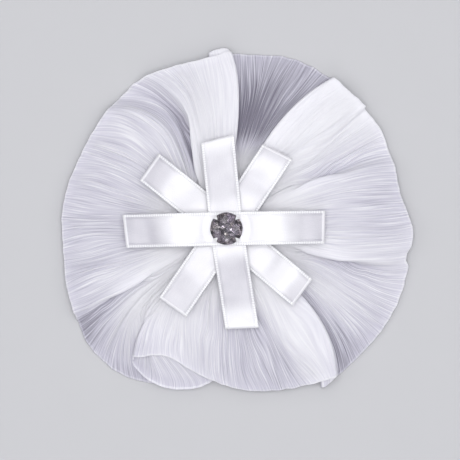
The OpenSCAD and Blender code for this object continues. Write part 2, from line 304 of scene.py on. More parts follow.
# a fold goes down and under, or comes back up. It also has a tuck, inside and at the hem, the radius of its
# hidden turn, a bulge, and the tones, mostly painted shade, and heights of the cloth under it. late moves its
# tuck as well
foldColumns = ("hem", "mid", "gather", "hemR", "hemZ", "midZ", "tuck", "hemTuck", "underR", "bulge",
               "tone", "hemTone", "lowTone", "lowHemTone", "lowMidZ", "late", "lowHemZ", "fall")
linesInFold = 9
pleats = [
    ("rib", 5, 5, 6, 55.2, 3.6, 10.0, 0.35, 0.2),
    ("rib", 12, 17, 22, 53.2, 3.8, 10.2, 0.4, 0.15),
    ("down", 21, 30, 38, 54.4, 3.6, 10.0, 3, -4, 54.6, 0, 0.6, 0.3, 0.1, 0.4, 7.2, 0.04, 2.5),
    ("rib", 32, 36.5, 49, 55.8, 2.9, 7.9, 0.4, 0.7),
    ("up", 40.8, 45.5, 59, 56.2, 4.2, 9.6, -2, 1, 55.4, 0, 0.9, 1.0, 0.8, 1.0, 8.5, 0.06, 3.0),
    ("rib", 48, 55, 66, 55.6, 5.2, 10.8, 1.0, 1.0),
    ("down", 54.9, 66, 73, 56.2, 5.2, 10.6, 4, 7, 55.2, 0, 1.0, 1.0, -0.2, -0.2, 7.6),
    ("rib", 71, 74.5, 80, 56.0, 0.7, 6.9, -1.0, -0.3),
    ("rib", 79.5, 79.2, 83.5, 52.9, 0.7, 6.9, -1.0, -0.2),
    ("up", 88.2, 83.3, 87, 53.6, 5.2, 10.6, 4, 7, 53.4, 1.2, 0.9, 0.9, -1.0, 0.2, 7.2),
    ("rib", 99, 98, 98, 51.0, 5.8, 11.2, 0.85, 0.7),
    ("down", 117.8, 112.6, 145, 52.3, 4.2, 10.2, 4, -4, 52.2, 0, 0.9, 0.5, -0.5, 0.25, 5.8, -0.1),
    ("rib", 125.6, 115.9, 148, 51.8, 1.6, 5.8, -0.8, 0.3, -0.1),
    ("up", 133.8, 122, 151, 51.0, 3.6, 9.6, -1.5, -3, 51.2, 0, 0.5, 0.35, 0.0, 0.3, 6.8, -0.1, 1.6),
    ("rib", 142.5, 135, 154, 50.2, 3.6, 9.6, 0.5, 0.3),
    ("rib", 155, 152, 160, 49.2, 2.4, 8.6, 0.4, 0.3),
    ("rib", 172, 171, 171, 50.4, 3.8, 9.4, 0.2, 0.15),
    ("rib", 186, 185, 186, 49.4, 2.4, 8.4, 0.2, 0.2),
    ("rib", 199, 198, 199, 51.3, 3.6, 9.8, 0.35, 0.15),
    ("down", 209.7, 212.2, 214, 52.8, 3.4, 9.6, 3.5, -1.5, 53.2, 0, 0.8, 0.2, 0.1, -0.5, 8.0, 0.1),
    ("rib", 217, 215, 217.5, 54.6, 0.8, 8.2, 0.8, -0.6),
    ("rib", 227, 217.8, 220.5, 55.2, 0.7, 9.2, 1.0, 0.2, 0, 0.56),
    ("rib", 238, 221, 224, 54.6, 0.7, 9.7, 1.0, -0.1, 0, 0.62),
    ("up", 233.6, 225.5, 229, 47.6, 6.6, 9.9, -1, 26, 45.6, 6.0, 1.0, 0.3, 1.0, 0.5, 9.8, 0.19, 0.65, 0.64),
    ("rib", 243.5, 232, 237, 41.2, 8.6, 10.4, 0.9, 0.6),
    ("rib", 254, 246, 249, 43.6, 7.2, 10.4, 0.8, 0.5),
    ("rib", 264.5, 261, 262, 46.0, 4.6, 9.8, 0.55, 0.45),
    ("rib", 276, 275, 276, 49.4, 3.2, 9.2, 0.1, 0.1),
    ("rib", 288, 285, 285, 51.4, 3.3, 9.6, 0.0, 0.05),
    ("rib", 296, 292, 290, 53.0, 3.8, 10.0, 0.05, 0.05),
    ("rib", 300.5, 298, 300, 54.2, 4.3, 10.5, 0.95, 0.85),
    ("rib", 304.5, 307.5, 309, 55.2, 4.8, 10.7, 0.9, 0.7),
    ("down", 307.2, 319.3, 320, 55.8, 5.2, 10.4, 4, 5.8, 56.3, 0, 0.7, 0.5, -0.3, -0.4, 6.8),
    ("rib", 310.5, 320.7, 322, 55.9, 0.7, 6.9, -0.3, -0.5),
    ("rib", 318, 324.6, 327, 55.8, 0.9, 7.5, 0.85, -0.05),
    ("rib", 333, 334.5, 336, 56.8, 1.8, 7.6, 0.65, 0.3),
    ("up", 350.5, 343, 345, 55.2, 3.6, 10.0, 4, -2.5, 56.4, 0, 0.85, 0.55, -0.1, 0.35, 6.6, 0, 1.8),
    ("rib", 356.8, 353, 355, 57.3, 4.2, 10.6, 0.5, 0.4),
]
crinkle = {
    # seed, then in mm the pitch at the hem, length, height and smallest pitch that shows, and the creasing,
    # which sharpens the crests and paints highlight on them
    "sets": [(11, 1.05, 34.0, 0.040, 0.60, 0.6), (12, 2.00, 44.0, 0.050, 0.60, 0.5),
             (13, 4.60, 60.0, 0.100, 0.80, 0), (14, 12.0, 70.0, 0.260, 1.50, 0)],
    # seed, pitch and length of what makes the crinkles wander, wave and bunch up, and of the hem's ripple
    "slow": [(21, 16.0, 34.0), (22, 40.0, 16.0), (23, 16.0, 40.0)], "ripple": (24, 5.0, 200.0),
    "wanderBy": 0.45, "wavyBy": 0.30, "bunchBy": 0.45, "rippleBy": 0.06,
    # the bottom petal is wavier: angles where that starts, is full, lessens and ends
    "wavyPetal": (228, 240, 284, 292), "wavyElsewhere": 0.15,
    "rippleFrom": 0.86, "calmHem": 0.7, "thickCalm": 0.6, "sharpness": 0.35,
    # the strip that this lies on: its width in mm, its cells round and outwards, and how mixed pitches are
    "stripWide": 56.0, "cells": (4096, 96), "band": 0.35,
}
chiffonFinish = {
    "shaded": (0.235, 0.222, 0.280, 1), "thin": (0.660, 0.645, 0.735, 1), "thick": (0.930, 0.923, 0.960, 1),
    # scales along the hem and outwards: long fine crepe lines, a wider set that still shows near the
    # gathers, specks and the open weave
    "crepe": (2.3, 0.06), "wide": (0.95, 0.04), "specks": (4.0, 1.2),
    "warp": (1.6, 0.02), "weft": (0.02, 1.6),
    # how much each adds to the tone, the crinkle crests' painted highlight among them, which crepe is bright,
    # and where outwards the lip is, in mm
    "crepeBy": 2.15, "wideBy": 0.5, "brightBy": 0.35, "crestLightBy": 0.07, "hemBy": 0.05, "lipBy": 0.45,
    "bright": (0.56, 0.72), "lip": (51.45, 51.75), "linesOnThick": 0.35,
    "speckDepth": 0.2, "weaveDepth": 0.10, "bump": (0.8, 0.0002), "roughness": 0.62, "translucent": 0.30,
}


# random cloth: streaks that run outwards, with their pitch and length in mm
def streaks(seed, stripLength, pitch, length):
    c = crinkle
    roundCells, outCells = c["cells"]
    rng = np.random.default_rng(seed)
    waves = np.fft.rfft2(rng.standard_normal((outCells, roundCells)))
    roundWaves = np.fft.rfftfreq(roundCells, stripLength / roundCells)
    outWaves = np.fft.fftfreq(outCells, c["stripWide"] / outCells)
    keepRound = np.exp(-0.5 * ((roundWaves * pitch - 1) / c["band"]) ** 2)
    keepOut = np.exp(-0.5 * (outWaves * length) ** 2)
    field = np.fft.irfft2(waves * (keepRound[None, :] * keepOut[:, None]), s=(outCells, roundCells))
    return field / field.std()


def readField(field, roundShare, outShare):
    outCells, roundCells = field.shape
    x, y = roundShare * roundCells, outShare * outCells
    i, j = np.floor(x).astype(int), np.floor(y).astype(int)
    fx, fy = x - i, stepUp(0, 1, y - j)
    left, right, low, high = i % roundCells, (i + 1) % roundCells, j % outCells, (j + 1) % outCells
    lower = mix(field[low, left], field[low, right], fx)
    return mix(lower, mix(field[high, left], field[high, right], fx), fy)


def lineZ(midZ, hemZ, v, fall=0):
    s = ruffleSizes
    even = threePoint(s["gatherZ"], s["evenMidZ"], s["evenHemZ"], v)
    own = threePoint(s["gatherZ"], midZ, hemZ, v)
    if fall:
        own = threePoint(s["gatherZ"], midZ, s["petalHemZ"], v) + (hemZ - s["petalHemZ"]) * stepUp(fall, 1, v)
    return mix(even, own, stepUp(s["evenFrom"], s["evenUntil"], v))


def lineR(hemR, v):
    return mix(ruffleSizes["gatherR"], hemR, v)


# near the gathers painted light makes all cloth as light as three layers, against the ribbons' shade there,
# and further out each line has its own tones
def lineTone(midTone, hemTone, late, v):
    s = ruffleSizes
    own = stepUp(s["innerUntil"] + late, s["midFrom"] + late, v)
    inner = mix(max(midTone, s["gatherPaintedLight"]), midTone, own)
    return mix(inner, hemTone, stepUp(s["hemFrom"], 1.0, v))


# a fold's lines, from its top over the edge to the cloth under it; where it isn't tucked it is a slope
def foldLines(p, turn, angle, vs):
    s = ruffleSizes
    late, r = p.get("late", 0), lineR(p["hemR"], vs)
    top = lineZ(p["midZ"], p["hemZ"], vs)
    low = lineZ(p.get("lowMidZ", s["valleyMidZ"]), p.get("lowHemZ", s["valleyHemZ"]), vs, p.get("fall", 0))
    half = low + np.minimum(s["layerGap"], (top - low) / 2)
    tone = lineTone(p["tone"], p["hemTone"], late, vs)
    # the cloth under a fold mostly takes painted shade
    lowTone = lineTone(p["lowTone"], p["lowHemTone"], late, vs)
    fullTuck = mix(p["tuck"], p["hemTuck"], stepUp(s["tuckChange"] + late, 1, vs))
    tuck = stepUp(s["tuckStart"] + late, s["tuckFull"] + late, vs) * fullTuck
    back = np.maximum(tuck, 0)
    folded = stepUp(0, s["fullFold"], tuck)
    near = np.minimum(s["edgeReach"], s["edgeShare"] * r)
    bend = np.minimum(near, back / 2)
    hemR, underR, bulge = p["hemR"], p["underR"], p["bulge"]
    foldX = [-near, 0, 0, -bend, -back / 2, bend - back, -back, -back, near - back]
    foldZ = [top, top, half, half, half, half, half, low, low]
    foldR = [hemR, hemR, hemR, hemR + bulge / 2, (hemR + underR) / 2 + bulge, underR + bulge / 3,
             underR, underR, underR]
    lines = []
    for share, x, z, farR in zip(np.linspace(0, 1, linesInFold), foldX, foldZ, foldR):
        x = mix(mix(-near, near + np.maximum(-tuck, 0), share), x, folded)
        z = mix(mix(top, low, stepUp(0, 1, share)), z, folded)
        shade = mix(tone, lowTone, stepUp(0.2, 1, share))
        lines.append(np.stack([angle + turn * np.degrees(x / r), lineR(farR, vs), z, shade], 1))
    return lines[::turn]


# lines that the cloth follows from the gathers to the hem: angle, radius, height and tone, the tone holding
# layers with painted light and shade
def pleatLines(vs):
    lines = []
    for kind, *row in pleats:
        p = dict(zip(ribColumns if kind == "rib" else foldColumns, row))
        angle = threePoint(p["gather"], p["mid"], p["hem"], vs)
        if kind == "rib":
            height = lineZ(p["midZ"], p["hemZ"], vs, p.get("fall", 0))
            tone = lineTone(p["tone"], p["hemTone"], p.get("late", 0), vs)
            lines.append(np.stack([angle, lineR(p["hemR"], vs), height, tone], 1))
        else:
            lines += foldLines(p, 1 if kind == "down" else -1, angle, vs)
    return np.array(lines)


# smooth cloth through the lines, at places counted in lines round the ruffle
def clothAt(lines, places):
    count = len(lines)
    i = np.floor(places).astype(int)
    t = (places - i)[:, None, None]
    near = []
    for k in (-1, 0, 1, 2):
        line = lines[(i + k) % count].copy()
        line[:, :, 0] += 360 * ((i + k) // count)[:, None]
        near.append(line)
    return ((1 - t) ** 3 * near[0] + (3 * t ** 3 - 6 * t * t + 4) * near[1]
            + (-3 * t ** 3 + 3 * t * t + 3 * t + 1) * near[2] + t ** 3 * near[3]) / 6


def fromPolar(polar):
    a = np.radians(polar[..., 0])
    return pointsAt(middleX + polar[..., 1] * np.cos(a), middleY + polar[..., 1] * np.sin(a), polar[..., 2])


# places of the rows, the hem's length, and how far along the hem each row is
def rowPlaces():
    s = ruffleSizes
    count = len(pleatLines(np.array([1.0])))
    fine = np.linspace(0, count, count * 60 + 1)
    total = 0
    for v, weight in s["rowWeights"]:
        length = lengthAlong(fromPolar(clothAt(pleatLines(np.array([v])), fine))[:, 0])
        total = total + weight * length
    places = np.interp(np.linspace(0, total[-1], s["rowsRound"] + 1)[:-1], total, fine)
    return places, length[-1], np.interp(places, fine, length)


# rings are closer near the hem, where the cloth is turned under, and two close up the middle
def ringPlaces():
    s = ruffleSizes
    turned = 1 - s["hemWidth"] * np.array([1, 0.6, 0.25]) / (s["hemReach"] - s["gatherR"])
    inner = np.linspace(0, turned[0] - 0.03, s["rings"] - 2)
    return np.concatenate([[-s["closeUp"], -s["closeUp"] / 2], inner, turned, [1.0]])


# how closely the cloth is gathered at each point, against the hem
def closeness(points, radius, hemAt, hemLength):
    apart = np.linalg.norm(overEach(points), axis=2)
    atHem = overEach(hemAt) % hemLength
    return np.clip(np.minimum(apart / atHem[:, None], radius / ruffleSizes["hemReach"]), 0.05, 1)


# how far the crinkles lift each point, the painted highlight on their crests, how the hem ripples, and where
# along the hem each point lies once they have wandered
def crinkleCloth(angle, tone, closer, hemAt, hemLength, vs):
    c = crinkle
    roundShare = np.repeat((hemAt / hemLength)[:, None], len(vs), 1)
    outShare = np.tile(vs * ruffleSizes["clothLong"] / c["stripWide"], (len(hemAt), 1))

    def strip(at, seed, pitch, length):
        return readField(streaks(seed, hemLength, pitch, length), at, outShare)

    wander, wavy, bunch = [strip(roundShare, *each) for each in c["slow"]]
    wavy = c["wavyBy"] * (c["wavyElsewhere"] + within(c["wavyPetal"], angle % 360)) * wavy
    moved = roundShare + (c["wanderBy"] * wander + wavy) / hemLength
    calm = (1.1 - c["thickCalm"] * tone.clip(0, 1)) * np.clip(1 + c["bunchBy"] * bunch, 0.25, 2)
    lift, crestLight = np.zeros_like(tone), np.zeros_like(tone)
    for seed, pitch, length, height, least, creasing in c["sets"]:
        field = strip(moved, seed, pitch, length)
        shown = stepUp(least * 0.75, least * 1.25, pitch * closer)
        if creasing:
            sharp = field + c["sharpness"] * (field * field - 1)
            lift += height * np.sqrt(closer) * shown * calm * sharp
            # the crests get painted highlight, as far as they are lifted
            crestLight += creasing * shown * calm * sharp
        else:
            lift += height * closer * shown * field
    atHem = stepUp(c["rippleFrom"], 1.0, vs)[None, :]
    lift *= 1 - c["calmHem"] * atHem
    ripple = strip(roundShare, *c["ripple"]) * (c["rippleBy"] * atHem)
    return lift, crestLight, ripple, moved * hemLength


# the hem: turned under in a small round, then back under the cloth, except where it is trimmed
def turnHem(points, normals, outward, trimmed):
    turn = ruffleSizes["hemTurn"]
    last, lastNormal, lastOut = points[:, -1:], normals[:, -1:], outward[:, -1:]
    bend = [last + turn * (sin(a) * lastOut - (1 - cos(a)) * lastNormal)
            for a in np.radians([45, 90, 135])]
    back = [mix(points[:, -1 - k, None] - 2 * turn * normals[:, -1 - k, None],
                bend[-1] - 0.02 * k * lastOut, trimmed[:, None, None]) for k in range(4)]
    return np.concatenate([points] + bend + back, 1)


def makeRuffle():
    s = ruffleSizes
    places, hemLength, hemAt = rowPlaces()
    vs = ringPlaces()
    polar = clothAt(pleatLines(vs), places)
    points = fromPolar(polar)
    outward = unitRows(np.gradient(points, axis=1))
    normals = unitRows(np.cross(outward, overEach(points)))
    tone = np.clip(polar[..., 3], -1, 1)
    closer = closeness(points, polar[..., 1], hemAt, hemLength)
    lift, crestLight, ripple, along = crinkleCloth(polar[..., 0], tone, closer, hemAt, hemLength, vs)
    flute = sum(1 if row[0] == "rib" else linesInFold for row in pleats[:s["flute"]])
    inFlute = within([flute + line for line in s["lipLines"]], places)
    # painted shade darkens the flute's lower lip towards its rim
    tone = tone - s["lipPaintedShade"] * inFlute[:, None] * stepUp(*s["lipFrom"], vs)[None, :]
    points = points + normals * lift[..., None] + outward * ripple[..., None]
    points = turnHem(points, normals, outward, inFlute)
    sunk = (points[..., 2] - s["lowest"]).clip(-s["deepest"], 0)
    points[..., 2] = np.maximum(points[..., 2], s["lowest"] + s["pressed"] * sunk)
    extra = points.shape[1] - len(vs)
    tone, crestLight, along = [np.pad(each, ((0, 0), (0, extra)), "edge") for each in (tone, crestLight, along)]
    long = s["clothLong"]
    hemDistance = np.concatenate([(1 - vs) * long, [0, 0, 0], (1 - vs[::-1][:4]) * long])
    doubled = 1 - stepUp(s["hemWidth"] - 0.5, s["hemWidth"] + 0.1, hemDistance)
    doubled = np.tile(doubled, (len(places), 1))
    out = np.append(vs * long, long + 0.3 * np.arange(1, extra + 1))
    out = np.tile(out, (len(places) + 1, 1))
    along = np.concatenate([along, along[:1] + hemLength])
    shades = {"tone": tone, "crestLight": crestLight, "doubled": doubled}
    piece = gridPiece("chiffonRuffle", points, out, along, shades=shades)
    print("ruffle made:", len(piece.data.polygons) * 2, "triangles, hem", round(hemLength, 1), "mm")
    return piece, hemLength


def chiffonMaterial():
    f = chiffonFinish
    made, tree, shader = newMaterial("crinkledChiffon")
    tone, crestLight, doubled = [shadeOf(tree, name) for name in ("tone", "crestLight", "doubled")]
    outwards = addNode(tree, "SeparateXYZ", {"Vector": clothPlace(tree, (1, 1))}).outputs["Y"]
    crepe = noise(clothPlace(tree, f["crepe"]), 1.0, 1.0, 0.6, 0.1)
    wide = noise(clothPlace(tree, f["wide"]), 1.0, 2.0, 0.6)
    specks = noise(clothPlace(tree, f["specks"]), 1.0, 2.0)
    warp = wave(clothPlace(tree, f["warp"]), 1.0, 0.6, 1.0, "X")
    weft = wave(clothPlace(tree, f["weft"]), 1.0, 0.6, 1.0, "Y")
    # the crinkle crests get painted highlight, following the lift's own pattern
    lines = plus(swing(crepe, 0.52, f["crepeBy"]), swing(wide, 0.5, f["wideBy"]),
                 spread(crepe, *f["bright"], 0.0, f["brightBy"]), times(crestLight, f["crestLightBy"]))
    lines = times(lines, spread(tone, 0.2, 1.0, 1.0, f["linesOnThick"]))
    # the turned hem is a little paler, with a bright line along its lip
    lip = spread(outwards, *f["lip"], 0.0, f["lipBy"])
    hem = plus(times(doubled, f["hemBy"]), lip)
    # tones above 0 go from one layer of cloth towards three, and below 0 into painted shade; they also carry
    # painted light and the crinkle crests' painted highlight
    layers = plus(tone, hem, lines)
    pale = mixColours(spread(layers, 0.0, 1.0), f["thin"], f["thick"])
    colour = mixColours(spread(layers, 0.0, -1.0), pale, f["shaded"])
    weave = times(plus(warp, weft), f["weaveDepth"])
    bump = bumpFrom(plus(crepe, times(specks, f["speckDepth"]), weave), *f["bump"])
    setShader(shader, Base_Color=colour, Roughness=f["roughness"], Normal=bump, Sheen_Weight=0.2,
              Sheen_Roughness=0.45, Specular_IOR_Level=0.25)
    through = addNode(tree, "BsdfTranslucent", {"Color": colour, "Normal": bump}).outputs[0]
    both = addNode(tree, "MixShader", {0: f["translucent"], 1: shader.outputs[0], 2: through})
    tree.links.new(both.outputs[0], tree.nodes["Material Output"].inputs["Surface"])
    return made


ruffle, hemLength = makeRuffle()
finishPiece(ruffle, "chiffon", [chiffonMaterial()], "chiffon_ruffle")


# Ribbons: four flattened loops of satin ribbon, one on another
ribbonSizes = {
    "width": 10.0, "thick": 0.3, "seatZ": 8.6, "waistStep": 1.7, "waistHalf": 0.6, "waistBlend": 4.0,
    "endHalf": 1.15, "openFrom": 12.0, "slantFrom": 10.0, "step": 0.19, "crown": 0.10,
    # the woven edge: where it and its ribs start and are full, where its rim is, and how the ribs stand out
    "edge": (4.05, 4.25), "ribbed": (4.2, 4.5), "rim": 4.7,
    "pearl": 0.75, "pearlHeight": 0.045, "pearlOut": 0.03,
    # how far from a loop's end its band of painted highlight starts to fade and is gone
    "endSheen": (0.8, 1.1),
    # the stitches under the stone pull a shallow round groove into the top ribbon
    "dimpleR": 7.3, "dimpleWide": 0.55, "dimple": 0.14,
    # half of the section: distance from the middle and share of the thickness. The satin ends in a ridge, and
    # the woven edge beside it is thinner
    "section": [(0.0, 1), (1.3, 1), (2.5, 1), (3.3, 1), (3.65, 1.1), (3.82, 1.7), (3.97, 1.85), (4.1, 1.5),
                (4.2, 0.85), (4.4, 0.8), (4.6, 0.9), (4.8, 0.95), (4.94, 0.6)],
}
# each arm: direction, length, skew of its end, the stretches over which it climbs or drops, in mm, and the
# painted sheen at places along it: 1 where bright sheen is painted on, 0 where the satin is painted grey
armColumns = ("aim", "length", "skew", "climbs", "paintedSheen")
ribbons = {
    "ribbonDiagonalLeft": ("ribbon_loop_diagonal_left", [
        (141.3, 29.7, -3.1, [(3, 10, 0.6), (9, 22, 2.9)], [(0, 1), (19, 1), (24, 0.25), (29.7, 0.1)]),
        (319.9, 29.9, -3.7, [(3, 12, 1.4), (16, 25, 2.5)],
         [(0, 1), (12, 0.85), (17, 0.7), (20, 1), (24, 1), (26, 0.4), (29.9, 0.25)])]),
    "ribbonDiagonalRight": ("ribbon_loop_diagonal_right", [
        (56.4, 27.8, -6.9, [(3, 12, 1.0), (17, 25, 1.75)],
         [(0, 1), (10, 0.75), (14, 0.5), (17, 0.5), (20, 0.95), (23, 0.95), (25.5, 0.35), (27.8, 0.25)]),
        (235.6, 28.7, 1.2, [(3, 15, 1.9), (18, 27, 0.8)],
         [(0, 1), (11, 0.85), (18, 0.45), (25, 0.4), (28.7, 0.35)])]),
    "ribbonVertical": ("ribbon_loop_vertical", [
        (95.7, 27.2, -8.7, [(3, 14, 2.3), (20, 27.2, -1.5)],
         [(0, 0.8), (7, 0.95), (9.5, 0.5), (18, 0.35), (21, 0.35), (24, 0.85), (27.2, 1)]),
        (278.9, 30.4, 6.6, [(3, 14, 2.0), (22, 30.4, -2.2)],
         [(0, 0.8), (7, 1), (10, 0.4), (12, 0.22), (22, 0.2), (25.5, 0.95), (30.4, 1)])]),
    "ribbonHorizontal": ("ribbon_loop_horizontal", [
        (0.9, 29.6, 2.1, [(4.5, 12, 2.6), (13, 24, -3.5)],
         [(0, 0.9), (10, 1), (16, 1), (22.5, 0.25), (29.6, 0.1)]),
        (181.5, 30.7, -5.3, [(4.5, 12, 2.4), (13, 25, -3.9)],
         [(0, 1), (16, 1), (22.5, 0.2), (30.7, 0.05)])]),
}
satinFinish = {
    # the satin painted grey where it has no sheen, and with full painted sheen
    "unsheened": (0.356, 0.345, 0.395, 1), "smooth": (0.765, 0.758, 0.790, 1),
    # the woven edge between its ribs, darker there as painted shade, and on them, each without and with the
    # painted sheen
    "edgeLow": ((0.53, 0.526, 0.565, 1), (0.69, 0.69, 0.71, 1)),
    "edgeHigh": ((0.65, 0.65, 0.673, 1), (0.82, 0.82, 0.84, 1)),
    # scales along the ribbon and across it
    "floats": (0.35, 6.0), "ribs": (0.43, 0.0), "weave": (3.2, 3.2), "soft": (0.16, 0.12),
    "roughness": 0.36, "roughEdge": 0.20, "roughWeave": 0.10, "bump": (0.35, 0.00005), "anisotropic": 0.35,
}


# one side of a loop as distance from the middle and height, from the waist to the end and back
def armPath(arm, number):
    s = ribbonSizes
    endR = s["endHalf"] - s["thick"] / 2
    last = arm["length"] - s["endHalf"]
    u = np.linspace(0, last, 160)
    z = s["seatZ"] + number * s["waistStep"] + s["waistHalf"]
    z = z + sum(rise * stepUp(a, b, u) for a, b, rise in arm["climbs"])
    half = mix(s["waistHalf"] - s["thick"] / 2, endR, stepUp(s["openFrom"], last - 2, u))
    upper, lower = np.stack([u, z + half], 1), np.stack([u, z - half], 1)
    bend = [last, z[-1]] + endR * headings(np.radians(np.linspace(90, -90, 26)[1:-1]))[0]
    return np.concatenate([upper, bend, lower[::-1]])


# the loop's closed line: x is signed distance along the loop, z its height
def loopPath(arms, number):
    first, second = [armPath(arm, number) for arm in arms]
    path = np.concatenate([first, (second[::-1] * [-1, 1])[1:-1]])
    closed = np.concatenate([path, path[:1]])
    length = lengthAlong(closed)
    at = np.linspace(0, length[-1], int(length[-1] / ribbonSizes["step"]) + 1)[:-1]
    return np.stack([np.interp(at, length, closed[:, k]) for k in (0, 1)], 1), at, length[-1]


def ribbonSection():
    half, thick = ribbonSizes["width"] / 2, ribbonSizes["thick"] / 2
    side = [(w, thick * share) for w, share in ribbonSizes["section"]]
    top = [(-w, h) for w, h in side[:0:-1]] + side
    return np.array([(-half, 0.0)] + top + [(half, 0.0)] + [(w, -h) for w, h in top[::-1]])


# along one arm: how its end slants, how much sheen is painted on the satin, and how far it is to the end
def alongArm(arm, reach):
    slant = tan(radians(arm["skew"])) * stepUp(ribbonSizes["slantFrom"], arm["length"] - 3, reach)
    return slant, np.interp(reach, *zip(*arm["paintedSheen"])), arm["length"] - reach


def makeRibbon(name, number, arms):
    s = ribbonSizes
    path, at, length = loopPath(arms, number)
    along = path[:, 0]
    ahead = unitRows(overEach(path))
    # the loop's plan line follows each arm's own direction, blended across the waist
    angleOne, angleTwo = radians(arms[0]["aim"]), radians(arms[1]["aim"] - 180)
    angleTwo += 2 * pi * round((angleOne - angleTwo) / (2 * pi))
    east, side = headings(mix(angleTwo, angleOne, stepUp(-s["waistBlend"], s["waistBlend"], along)))
    plan = np.array([middleX, middleY]) + east * along[:, None]
    perArm = zip(*[alongArm(arm, np.abs(along)) for arm in arms])
    slant, pale, toEnd = [np.where(along > 0, one, two) for one, two in perArm]
    section = ribbonSection()
    w, h = section[:, 0][None, :], section[:, 1][None, :]
    pearls = np.cos(2 * pi * np.round(length / s["pearl"]) * at / length)
    ribs = pearls[:, None] * stepUp(*s["ribbed"], np.abs(w))
    h = h + s["pearlHeight"] * ribs * np.sign(h)
    w = w + s["pearlOut"] * ribs * np.sign(w) * (np.abs(w) > s["rim"])
    normalX, normalZ = -ahead[:, 1:], ahead[:, :1]
    fromStone = np.hypot(along[:, None], w)
    groove = s["dimple"] * np.exp(-((fromStone - s["dimpleR"]) / s["dimpleWide"]) ** 2) * (normalZ > 0.5)
    onTop = number == len(ribbons) - 1
    lift = h - s["crown"] * (w / (s["width"] / 2)) ** 2 * np.abs(normalZ) - groove * onTop
    forward = slant[:, None] * w + normalX * lift
    flat = plan[:, None] + side[:, None] * w[..., None] + east[:, None] * forward[..., None]
    points = pointsAt(flat[..., 0], flat[..., 1], path[:, 1:] + normalZ * lift)
    closedW = np.append(section[:, 0], section[0, 0])
    alongMap = np.repeat(np.append(at, length)[:, None], len(closedW), 1)
    acrossMap = np.tile(closedW, (len(at) + 1, 1))
    edge = np.tile(stepUp(*s["edge"], np.abs(section[:, 0])), (len(at), 1))
    # pale is the painted sheen along the loop, smoothed round it
    pale = np.convolve(np.concatenate([pale[-6:], pale, pale[:6]]), np.ones(13) / 13, "valid")
    # a band of painted highlight where the loop turns over at its end
    pale = np.maximum(pale, 1 - stepUp(*s["endSheen"], toEnd))
    shades = {"edge": edge, "pale": np.repeat(pale[:, None], len(section), 1)}
    piece = gridPiece(name, points, acrossMap, alongMap, closeColumns=True, shades=shades)
    print(name, "made:", len(piece.data.polygons) * 2, "triangles, ribbon", round(length, 1), "mm")
    return piece, length


def satinMaterial():
    f = satinFinish
    made, tree, shader = newMaterial("whiteSatin")
    edge, pale = shadeOf(tree, "edge"), shadeOf(tree, "pale")
    floats = noise(clothPlace(tree, f["floats"]), 1.0, 4.0, 0.6)
    ribs = wave(clothPlace(tree, f["ribs"]), 1.0, 0.3, 2.0, "X")
    weave = noise(clothPlace(tree, f["weave"]), 1.0, 2.0)
    soft = noise(clothPlace(tree, f["soft"]), 1.0, 1.0)
    tone = plus(times(floats, 0.5), times(weave, 0.5))
    # the satin's painted sheen, varied by random floats and weave
    sheenAndGrain = plus(pale, swing(soft, 0.5, 0.5), swing(tone, 0.5, 0.5))
    satin = mixColours(spread(sheenAndGrain, 0.0, 1.0), f["unsheened"], f["smooth"])
    # on the woven edge, painted shade darkens the grooves between the ribs that the bump raises
    low, high = mixColours(pale, *f["edgeLow"]), mixColours(pale, *f["edgeHigh"])
    colour = mixColours(edge, satin, mixColours(ribs, low, high))
    rough = plus(times(edge, f["roughEdge"]), times(tone, f["roughWeave"]), f["roughness"])
    bump = bumpFrom(plus(floats, times(ribs, edge)), *f["bump"])
    tangent = addNode(tree, "Tangent", direction_type="UV_MAP", uv_map="cloth").outputs[0]
    setShader(shader, Base_Color=colour, Roughness=rough, Normal=bump, Tangent=tangent,
              Anisotropic=f["anisotropic"], IOR=1.6, Specular_IOR_Level=0.5)
    return made


satin = satinMaterial()
for number, (name, (node, rows)) in enumerate(ribbons.items()):
    loop, ribbonLength = makeRibbon(name, number, [dict(zip(armColumns, row)) for row in rows])
    finishPiece(loop, "satin", [satin], node)


# Stone: a round brilliant over a foil
stoneSizes = {
    "radius": 4.4, "girdle": 0.3, "crown": 1.5, "pavilion": 1.8, "centreZ": cupLow.z / mm + 2.50,
    "sides": 96, "turn": 7.0, "widen": 1.105, "foilSlope": -0.3,
    # facets: how many, tilt, first direction, distance of the plane from the girdle's middle
    "cuts": [(8, 38.3, 22.5, 2.84), (8, 24.0, 0.0, 2.34), (16, 46.0, 11.25, 3.29),
             (10, 180 - 25.0, 22.5, 1.66), (20, 180 - 31.0, 11.25, 2.12)],
}
stoneFinish = {
    "glass": ((0.90, 0.88, 0.91, 1), (0.97, 0.96, 0.97, 1)), "foil": (0.30, 0.285, 0.325, 1),
    "foilTints": ((0.68, 0.62, 0.72, 1), (0.72, 0.69, 0.62, 1)), "foilRoughness": 0.20,
    # patches and clouds in each metre
    "patches": 1250.0, "patchTilt": 0.0005, "glassClouds": 700.0, "foilClouds": 500.0,
}


